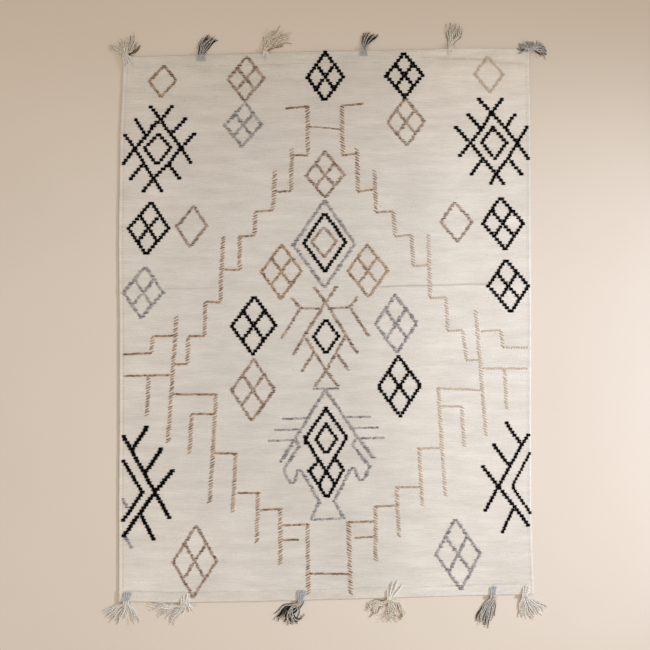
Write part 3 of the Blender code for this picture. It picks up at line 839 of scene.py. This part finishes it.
# thin cream thread, a touch darker than the cloth: the seams read as faint dotted lines
threadMaterial = makeYarnMaterial("creamThread", ("#B4AA9C", "#DBD5CD"))
sewn = []
sewnUneven = random.Random(sewingSize["seed"])
stitchSize = sewingSize["length"], sewingSize["width"]
for end in (-1, 1):
    for i in range(int(sewingSize["seamLong"] / sewingSize["pitch"])):
        s = (i + 0.5) * sewingSize["pitch"] - sewingSize["seamLong"] / 2
        x, y = rugPlace(s, end * sewingSize["seamFrom"])
        t = end * (1000 - (clothSize["hemWidth"] + seamWander(end, x)) / mm + 1.0)
        sewn.append((s + sewnUneven.uniform(-0.8, 0.8), t, sewnUneven.uniform(-0.2, 0.2), *stitchSize))
for side in (-1, 1):
    for i in range(int(sewingSize["selvedgeLong"] / sewingSize["pitch"])):
        s = side * (750 - sewingSize["selvedgeInset"])
        t = (i + 0.5) * sewingSize["pitch"] - sewingSize["selvedgeLong"] / 2
        turn = math.pi / 2 + sewnUneven.uniform(-0.3, 0.3)
        sewn.append((s, t, turn, *sewingSize["selvedgeStitch"]))
sewingPiece = layStitches("hemSewing", sewn, threadMaterial, high=sewingSize["high"], sunk=0.0)
print("sewing:", len(sewn), "stitches")


# tassels: plied yarns drawn through the hem, over the edge and spread on the floor

tasselSize = {
    "fibre": 1.3 * mm,
    "fibres": 12,
    "samples": 50,
    "rootSamples": 16,
    "lay": 16 * mm,
    "rise": 3.0 * mm,  # how far each layer of yarns lies above the one below
    # millimetres of yarn: for a turn to its heading, a wave, its layers coming down, leaving the hem's height
    "turnIn": 13,
    "waveLong": 9.0,
    "settle": 34,
    "held": 16,
    "dive": 2.2 * mm,  # how deep the root starts under the hem's face
    "cornerFrom": 5 * mm,  # the step from the cloth to the floor
    "cornerWidth": 6 * mm,
    "twist": 4.5 * mm,
    "sheen": 0.5,
    "greySheen": 0.05,
    "hemTop": 6.3 * mm,
    "seed": 23,
}
# the dark colour is painted shade between the yarns in the cream and golden kinds, and black yarn as well as
# painted shade in the grey kinds
tasselYarns = {  # dark, light, on the hem, thickness
    "cream": ("#5E3D20", "#FFF9EC", "#FFFBF4", 3.2 * mm),
    "creamPale": ("#B79C78", "#FFFCF6", "#FFFCF6", 3.1 * mm),
    "golden": ("#8C6A40", "#FFF6E4", "#FFFBF4", 3.1 * mm),
    "creamGreyRoot": ("#B79E7C", "#FFFCF6", "#D6DADD", 3.0 * mm),
    "grey": ("#0C0907", "#EBE7E1", "#D6DADE", 3.0 * mm),
    "greyDark": ("#0A0705", "#E4DFD8", "#CDD1D4", 3.0 * mm),
    "greyFine": ("#14110F", "#DCDAD8", "#D6DADE", 2.5 * mm),
}
# shades from the lowest layer up, and in which layers a kind's yarns follow one another. The lower layers are
# darker: painted shade between the yarns, and in the grey kinds black yarn as well
tasselShades = {
    "cream": (0.0, 1.0, 1.3),
    "creamPale": (0.45, 1.1, 1.4),
    "golden": (0.15, 0.9, 1.2),
    "creamGreyRoot": (0.45, 1.1, 1.4),
    "grey": (-0.1, 0.05, 1.2),
    "greyDark": (-0.1, 0.0, 1.15),
    "greyFine": (0.0, 0.15, 1.1),
}
tasselLayers = {
    "greyDark": (0, 2, 1, 0, 1),
    "creamPale": (0, 2, 1, 2, 1),
    "creamGreyRoot": (0, 2, 1, 2, 1),
    "golden": (0, 2, 1, 2, 1),
}

# node, yarn, x, how far the knot lies beyond the edge, knot width, then places on the hem (across, back,
# width) and sprays (yarns, heading, spread, curl, length, waviness, shade)
tassels = [
    ("tassel_far_1", "cream", -726, 6, 26, [(-5, 44, 6), (2, 38, 5), (12, 32, 5), (30, 36, 5)],
     [(9, 150, 16, -10, 62, 1.2, 0.7), (9, 120, 18, -4, 62, 1.5, 0.7), (6, 90, 12, 6, 62, 1.3, 0.6),
      (6, 68, 8, 12, 84, 0.9, -0.35),
      (7, 36, 12, 60, 60, 1.0, 0.1), (7, 8, 7, 80, 52, 0.8, -2.2)]),
    ("tassel_far_2", "greyDark", -452, 3, 27, [(-13, 24, 7), (-4, 25, 7), (5, 25, 7), (14, 24, 7)],
     [(12, 84, 8, -46, 76, 0.6, 0.1), (12, 72, 8, -36, 74, 0.8, 0.0), (7, 62, 6, -30, 70, 0.9, -0.2)]),
    ("tassel_far_3", "golden", -217, 8, 17, [(-7, 16, 4), (1, 34, 4), (8, 24, 4)],
     [(3, 94, 8, -30, 60, 1.2, 0.1), (7, 76, 9, -30, 92, 1.7, 0.1), (8, 56, 9, -26, 112, 2.1, 0.1),
      (7, 34, 8, -8, 116, 2.0, 0.0), (3, 14, 6, 20, 60, 1.0, -1.2)]),
    ("tassel_far_4", "greyDark", 141, 7, 15, [(-13, 20, 7), (-4, 21, 7), (5, 21, 7), (12, 20, 7)],
     [(7, 86, 7, -6, 58, 0.5, 0.1), (9, 70, 8, -10, 64, 0.5, 0.0), (6, 54, 5, -14, 68, 0.6, -0.1)]),
    ("tassel_far_5", "cream", 456, 9, 15, [(-5, 28, 4), (2, 24, 4), (8, 14, 4)],
     [(6, 84, 5, 8, 84, 1.3, 0.2), (7, 71, 6, 10, 88, 1.5, 0.15), (7, 57, 6, 16, 84, 1.5, 0.15),
      (6, 43, 6, 36, 80, 1.3, 0.1)]),
    ("tassel_far_6", "greyFine", 748, -6, 20, [(-8, 14, 6), (-2, 13, 6)],
     [(11, 180, 22, 14, 44, 2.6, 0.1), (10, 144, 18, 30, 44, 2.6, 0.0), (7, 110, 16, 24, 36, 2.6, -0.1),
      (7, 70, 16, -24, 38, 2.6, 0.0),
      (11, 36, 18, -30, 52, 2.6, 0.1), (12, 4, 16, -24, 60, 2.4, 0.0), (10, -24, 14, -4, 62, 1.8, 0.0),
      (6, -58, 14, 16, 40, 1.6, -0.2)]),
    ("tassel_near_1", "creamGreyRoot", -726, 4, 18, [(-6, 37, 8), (3, 38, 8), (11, 38, 8), (19, 37, 8)],
     [(9, 192, 8, 34, 84, 1.1, 0.1), (10, 214, 9, 26, 88, 1.3, 0.1), (8, 238, 8, 14, 84, 1.3, 0.1),
      (3, 262, 8, -14, 70, 1.2, 0.0), (8, 302, 13, -18, 80, 0.9, 0.0)]),
    ("tassel_near_2", "creamPale", -512, 5, 30, [(-12, 18, 5), (-2, 26, 6), (9, 34, 6), (14, 16, 5)],
     [(12, 183, 6, -2, 122, 1.5, 0.2), (10, 194, 8, 14, 108, 2.0, 0.2), (10, 210, 9, 40, 96, 2.0, 0.2),
      (7, 234, 14, -40, 60, 1.8, 0.1), (6, 286, 20, 24, 34, 1.2, -0.2),
      (4, 330, 14, 20, 44, 1.6, 0.0)]),
    ("tassel_near_3", "greyDark", -89, 6, 18, [(-10, 38, 8), (-1, 40, 8), (8, 40, 8), (16, 38, 8)],
     [(11, 188, 6, 64, 112, 1.4, -0.1), (12, 200, 7, 66, 104, 2.2, -0.1),
      (11, 212, 7, 60, 100, 2.6, -0.15), (6, 222, 6, 26, 86, 1.4, -0.1),
      (11, 192, 8, 212, 116, 1.0, -0.1)]),
    ("tassel_near_4", "golden", 236, 5, 20, [(-9, 34, 5), (8, 56, 5), (26, 60, 6), (42, 46, 6)],
     [(11, 194, 16, 60, 98, 2.6, 0.0), (10, 222, 14, -50, 94, 2.8, -0.2),
      (10, 250, 14, 120, 100, 2.2, -0.2), (10, 300, 18, -130, 104, 1.8, 0.0),
      (9, 340, 14, -110, 96, 1.6, 0.0)]),
    ("tassel_near_5", "grey", 611, 7, 20, [(-7, 34, 8), (2, 36, 8), (11, 35, 8)],
     [(8, 222, 6, 48, 98, 0.7, 0.0), (9, 238, 5, 26, 110, 0.6, 0.0), (8, 252, 4, 12, 112, 0.5, 0.0),
      (4, 270, 5, -20, 88, 0.7, 0.1)]),
    ("tassel_near_6", "creamPale", 727, 5, 22, [(-4, 28, 6), (5, 36, 7), (14, 32, 7)],
     [(7, 258, 8, 18, 78, 1.2, 0.0), (9, 284, 8, 10, 90, 1.0, 0.1), (9, 306, 9, 6, 92, 1.0, 0.1),
      (7, 328, 8, -8, 84, 1.0, 0.0)]),
]


def underfoot(x, y):  # the height of what a yarn lies on: the cloth, or the floor
    along = 2 * y / clothSize["length"]
    inside = min(
        endY(1, x) - y,
        y - endY(-1, x),
        x + clothSize["width"] / 2 - edgeOffset(3, max(-1, min(1, along))),
        clothSize["width"] / 2 + edgeOffset(4, max(-1, min(1, along))) - x,
    )
    return tasselSize["hemTop"] * smoothStep((inside + tasselSize["cornerFrom"]) / tasselSize["cornerWidth"])


def yarnPath(row, finger, heading, curl, length, wavy, phase, order, layer, thick, uneven):
    # order runs from -0.5 to 0.5 across the knot
    node, _, x0, beyond, knotWidth, _, _ = row
    end = 1 if "far" in node else -1
    across, back, fingerWidth = finger
    start = Vector((x0 + across + uneven.uniform(-0.5, 0.5) * fingerWidth, -back * uneven.uniform(0.9, 1.04)))
    knot = Vector((x0 + order * knotWidth, beyond + uneven.uniform(-1.5, 1.5)))
    samples = []  # in millimetres: across, and outward from the edge
    for i in range(tasselSize["rootSamples"]):
        share = i / tasselSize["rootSamples"]
        bent = start.lerp(knot, share)
        bent.x += (knot.x - start.x) * (smoothStep(share) - share) * 0.8
        samples.append((bent, 1 - share))
    facing = (heading - 90 * end + 180) % 360 - 180
    steps = tasselSize["samples"] - tasselSize["rootSamples"]
    wave, bend = uneven.uniform(0.6, 1.1) * wavy * 16, uneven.uniform(0.65, 1.3) * curl
    here = knot.copy()
    for i in range(steps):
        share = i / (steps - 1)
        turnedIn = smoothStep(share * length / tasselSize["turnIn"])
        angle = facing * (0.35 + 0.65 * turnedIn) + bend * share ** 1.4
        angle += wave * math.sin(phase + share * length / tasselSize["waveLong"]) * smoothStep(share * 2.5)
        samples.append((here.copy(), 0.0))
        turned = math.radians(90 * end + angle)
        here = here + Vector((math.cos(turned), end * math.sin(turned))) * length / (steps - 1)
    path, rooted = [], []
    for number, (place, onHem) in enumerate(samples):
        x = place.x * mm
        y = endY(end, x) + end * place.y * mm
        share = max(0.0, (number - tasselSize["rootSamples"]) / steps)
        spread = 1 - smoothStep(share * length / tasselSize["settle"])
        rest = underfoot(x, y) + thick / 2 + layer * tasselSize["rise"] * (0.30 + 0.45 * spread)
        hold = tasselSize["hemTop"] + thick / 2 + layer * tasselSize["rise"] * 0.75
        hold *= 1 - smoothStep(share * length / tasselSize["held"])
        height = max(rest, hold)
        if number < tasselSize["rootSamples"]:
            dive = smoothStep(number / 3)
            height = (tasselSize["hemTop"] - tasselSize["dive"]) * (1 - dive) + height * dive
            height -= layer * tasselSize["rise"] * 0.75 * onHem ** 0.5 * dive
        path.append(Vector((x, y, height)))
        rooted.append(1.0 if onHem > 0.12 else 0.0)
    return path, rooted


def strandTree():
    tree, start = newTree("pliedYarns", (("Lay", "Float"), ("Sides", "Int"), ("Flatten", "Float")))
    lines = addNode(tree, "GeometryNodeMeshToCurve", {"Mesh": start["Geometry"]})
    thick = addNode(tree, "GeometryNodeInputNamedAttribute", {"Name": "thick"}, data_type="FLOAT")
    travelled = addNode(tree, "GeometryNodeSplineParameter").outputs["Length"]
    turns = addNode(tree, "ShaderNodeMath", {0: travelled, 1: start["Lay"]}, operation="DIVIDE")
    tilt = addNode(tree, "ShaderNodeMath", {0: turns, 1: 2 * math.pi}, operation="MULTIPLY")
    twisted = addNode(tree, "GeometryNodeSetCurveTilt", {"Curve": lines, "Tilt": tilt})
    ring = {"Resolution": start["Sides"], "Radius": 1.0}
    circle = addNode(tree, "GeometryNodeCurvePrimitiveCircle", ring, mode="RADIUS")
    squash = addNode(tree, "ShaderNodeCombineXYZ", {"X": 1.0, "Y": start["Flatten"], "Z": 1.0})
    oval = addNode(tree, "GeometryNodeTransform", {"Geometry": circle, "Scale": squash})
    edge = addNode(tree, "GeometryNodeSplineParameter").outputs["Factor"]
    marked = []
    for curve, name, value in ((twisted, "along", travelled), (oval, "around", edge)):
        mark = {"Geometry": curve, "Name": name, "Value": value}
        domain = {"data_type": "FLOAT", "domain": "POINT"}
        marked.append(addNode(tree, "GeometryNodeStoreNamedAttribute", mark, **domain))
    tube = {"Curve": marked[0], "Profile Curve": marked[1], "Scale": thick, "Fill Caps": True}
    return endTree(tree, addNode(tree, "GeometryNodeCurveToMesh", tube), start["Yarn"])


def makeStrands(name, strands, thickOf, thick, material, sides, flatten):
    points, edges, marks = [], [], {"thick": [], "tone": [], "rooted": []}
    for path, rooted, tone in strands:
        shares = [i / (len(path) - 1) for i in range(len(path))]
        first = len(points)
        points += path
        marks["rooted"] += rooted
        marks["tone"] += [tone] * len(path)
        marks["thick"] += [thickOf(share, thick) / 2 for share in shares]
        edges += [(k, k + 1) for k in range(first, len(points) - 1)]
    mesh = bpy.data.meshes.new(name + "Lines")
    mesh.from_pydata(points, edges, [])
    for key, values in marks.items():
        mesh.attributes.new(key, "FLOAT", "POINT").data.foreach_set("value", values)
    carrier = bpy.data.objects.new(name + "Lines", mesh)
    scene.collection.objects.link(carrier)
    values = {"Lay": tasselSize["lay"], "Sides": sides, "Flatten": flatten, "Yarn": material}
    return runTree(yarnTree, carrier, values, name)


def yarnThickness(share, thick):
    return thick * (0.6 + 0.4 * smoothStep(share * 8)) * (1 - 0.3 * smoothStep((share - 0.75) / 0.25))


def fibreThickness(share, thick):
    return thick * (1 - 0.5 * share)


yarnTree = strandTree()
# the same wool in loose locks: yarns that lie deep get painted shade (in the grey kinds partly black yarn),
# those on top are pale, so that each lock stands out
tasselMaterials = {}
for kind, (dark, light, root, _) in tasselYarns.items():
    sheen = tasselSize["greySheen" if "grey" in kind else "sheen"]
    looks = {"lay": tasselSize["twist"], "rootColour": root, "sheen": sheen}
    tasselMaterials[kind] = makeYarnMaterial(kind + "TasselYarn", (dark, light), **looks)
tasselPieces = []
for number, row in enumerate(tassels):
    node, kind, _, _, _, fingers, sprays = row
    uneven = random.Random(tasselSize["seed"] + number)
    thickness = tasselYarns[kind][3]
    planned, yarns, fibres = [], [], []
    for count, heading, spread, curl, length, wavy, shade in sprays:
        phase = uneven.uniform(0, 6.28)
        for i in range(count):
            aim = heading + ((i + 0.5) / count - 0.5) * 2 * spread + uneven.uniform(-1, 1) * (2 + 4 * wavy)
            yarnLong = length * uneven.uniform(0.82, 1.08)
            planned.append((aim, curl, yarnLong, wavy, phase + uneven.uniform(-0.9, 0.9), shade))
    planned.sort(reverse="far" in node)  # from left to right across the knot
    for i, (aim, curl, length, wavy, phase, shade) in enumerate(planned):
        order = (i + 0.5) / len(planned) - 0.5 + uneven.uniform(-0.08, 0.08)
        layer = tasselLayers.get(kind, (0, 2, 1, 0, 2))[i % 5]
        # lower layers get a darker tone: painted shade between the yarns
        tone = tasselShades[kind][layer] + shade + uneven.uniform(-0.12, 0.12)
        finger = fingers[max(0, min(len(fingers) - 1, int((order + 0.5) * len(fingers))))]
        path, rooted = yarnPath(row, finger, aim, curl, length, wavy, phase, order, layer, thickness, uneven)
        yarns.append((path, rooted, tone))
    for i in range(tasselSize["fibres"]):
        count, heading, spread, curl, length, wavy, shade = sprays[i % len(sprays)]
        aim = heading + uneven.uniform(-1.2, 1.2) * spread
        fibreLong = length * uneven.uniform(0.8, 1.12)
        phase = uneven.uniform(0, 6.28)
        order = uneven.uniform(-0.5, 0.5)
        layer = uneven.randrange(3)
        course = (aim, curl * 1.2, fibreLong, wavy * 1.3, phase, order, layer)
        path, rooted = yarnPath(row, fingers[0], *course, tasselSize["fibre"], uneven)
        bare = tasselSize["rootSamples"]  # a loose fibre starts at the knot
        fibres.append((path[bare:], rooted[bare:], uneven.uniform(0.1, 1.0)))
    material = tasselMaterials[kind]
    plied = makeStrands(node + "Yarns", yarns, yarnThickness, thickness, material, 6, 0.7)
    loose = makeStrands(node + "Fibres", fibres, fibreThickness, tasselSize["fibre"], material, 4, 1.0)
    tasselPieces.append((node, "yarn_grey" if kind.startswith("grey") else "yarn_cream", plied, loose))
print("tassels:", len(tassels), "with", sum(spray[0] for row in tassels for spray in row[-1]), "yarns in all")

bpy.data.objects.remove(stitchShape)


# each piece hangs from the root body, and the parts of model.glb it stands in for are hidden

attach(cloth, "root")
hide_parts("rug")
for piece in brocadePieces + [sewingPiece]:
    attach(piece, "root")
for node, slotName, plied, loose in tasselPieces:
    for piece in (plied, loose):
        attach(piece, "root")
        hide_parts(node)


# floor, light and camera

stageLook = {
    "floor": "#EDE2D6",
    "floorNoise": {"Scale": 2.2, "Detail": 4.0},
    "floorTone": {"From Min": 0.3, "From Max": 0.7, "To Min": 0.985, "To Max": 1.01},
    "world": "#CEC3B5",
    "worldPower": 0.95,
    "keyPower": 1560.0,
    "keyPlace": (6.0, 0.3, 2.5),
    "keyAim": (0.8, -0.37, 0.0),
    "keySize": 0.35,  # radius in metres: a larger lamp has softer shadows
    "keyCone": 32.0,
    "keyColour": "#E4EFFF",
    "sideColour": "#FFF6EA",
    "sideAim": (0.1, 0.2, 0.0),
    "sidePower": 12.0,
    "sidePlace": (1.2, -4.6, 1.9),
    "sideSize": 0.9,
    "cameraPlace": (-0.0007, 0.0013, 3.6),
    "lens": 54.6,
    "sensorWidth": 36,
}
# a plain painted floor: matt and pale, so that the rug's edge and its shadow read
floorMaterial, floorTree, floorShader = newMaterial("matFloor", 0.75)
floorPlace = addNode(floorTree, "ShaderNodeTexCoord").outputs["Object"]
floorNoise = addNode(floorTree, "ShaderNodeTexNoise", {"Vector": floorPlace, **stageLook["floorNoise"]})
floorTone = addNode(floorTree, "ShaderNodeMapRange", {"Value": floorNoise, **stageLook["floorTone"]})
floorInputs = {0: linearColour(stageLook["floor"])[:3], "Scale": floorTone}
floorColour = addNode(floorTree, "ShaderNodeVectorMath", floorInputs, operation="SCALE")
floorTree.links.new(floorColour.outputs["Vector"], floorShader.inputs["Base Color"])
floor = plainObject("floor", [(-8, -8, 0), (8, -8, 0), (8, 8, 0), (-8, 8, 0)], [(0, 1, 2, 3)], floorMaterial)

world = bpy.data.worlds.new("room")
scene.world = world
world.use_nodes = True
world.node_tree.nodes["Background"].inputs["Color"].default_value = linearColour(stageLook["world"])
world.node_tree.nodes["Background"].inputs["Strength"].default_value = stageLook["worldPower"]


def addLamp(name, kind, power, place, aim, colour, **settings):
    light = bpy.data.lights.new(name, kind)
    light.energy = power
    light.color = linearColour(colour)[:3]
    for key, value in settings.items():
        setattr(light, key, value)
    lamp = bpy.data.objects.new(name, light)
    lamp.location = place
    lamp.rotation_euler = (Vector(aim) - Vector(place)).to_track_quat("-Z", "Y").to_euler()
    scene.collection.objects.link(lamp)


keyCone = math.radians(stageLook["keyCone"])
keyShape = {"spot_size": keyCone, "spot_blend": 1.0, "shadow_soft_size": stageLook["keySize"]}
for name, kind, shape in (("key", "SPOT", keyShape), ("side", "AREA", {"size": stageLook["sideSize"]})):
    settings = [stageLook[name + key] for key in ("Power", "Place", "Aim", "Colour")]
    addLamp(name + "Lamp", kind, *settings, **shape)
scene.view_settings.view_transform = "Standard"

cameraData = bpy.data.cameras.new("camera")
cameraData.lens = stageLook["lens"]
cameraData.sensor_width = stageLook["sensorWidth"]
camera = bpy.data.objects.new("camera", cameraData)
camera.location = stageLook["cameraPlace"]
scene.collection.objects.link(camera)
scene.camera = camera
print("stage: floor, lights and camera")
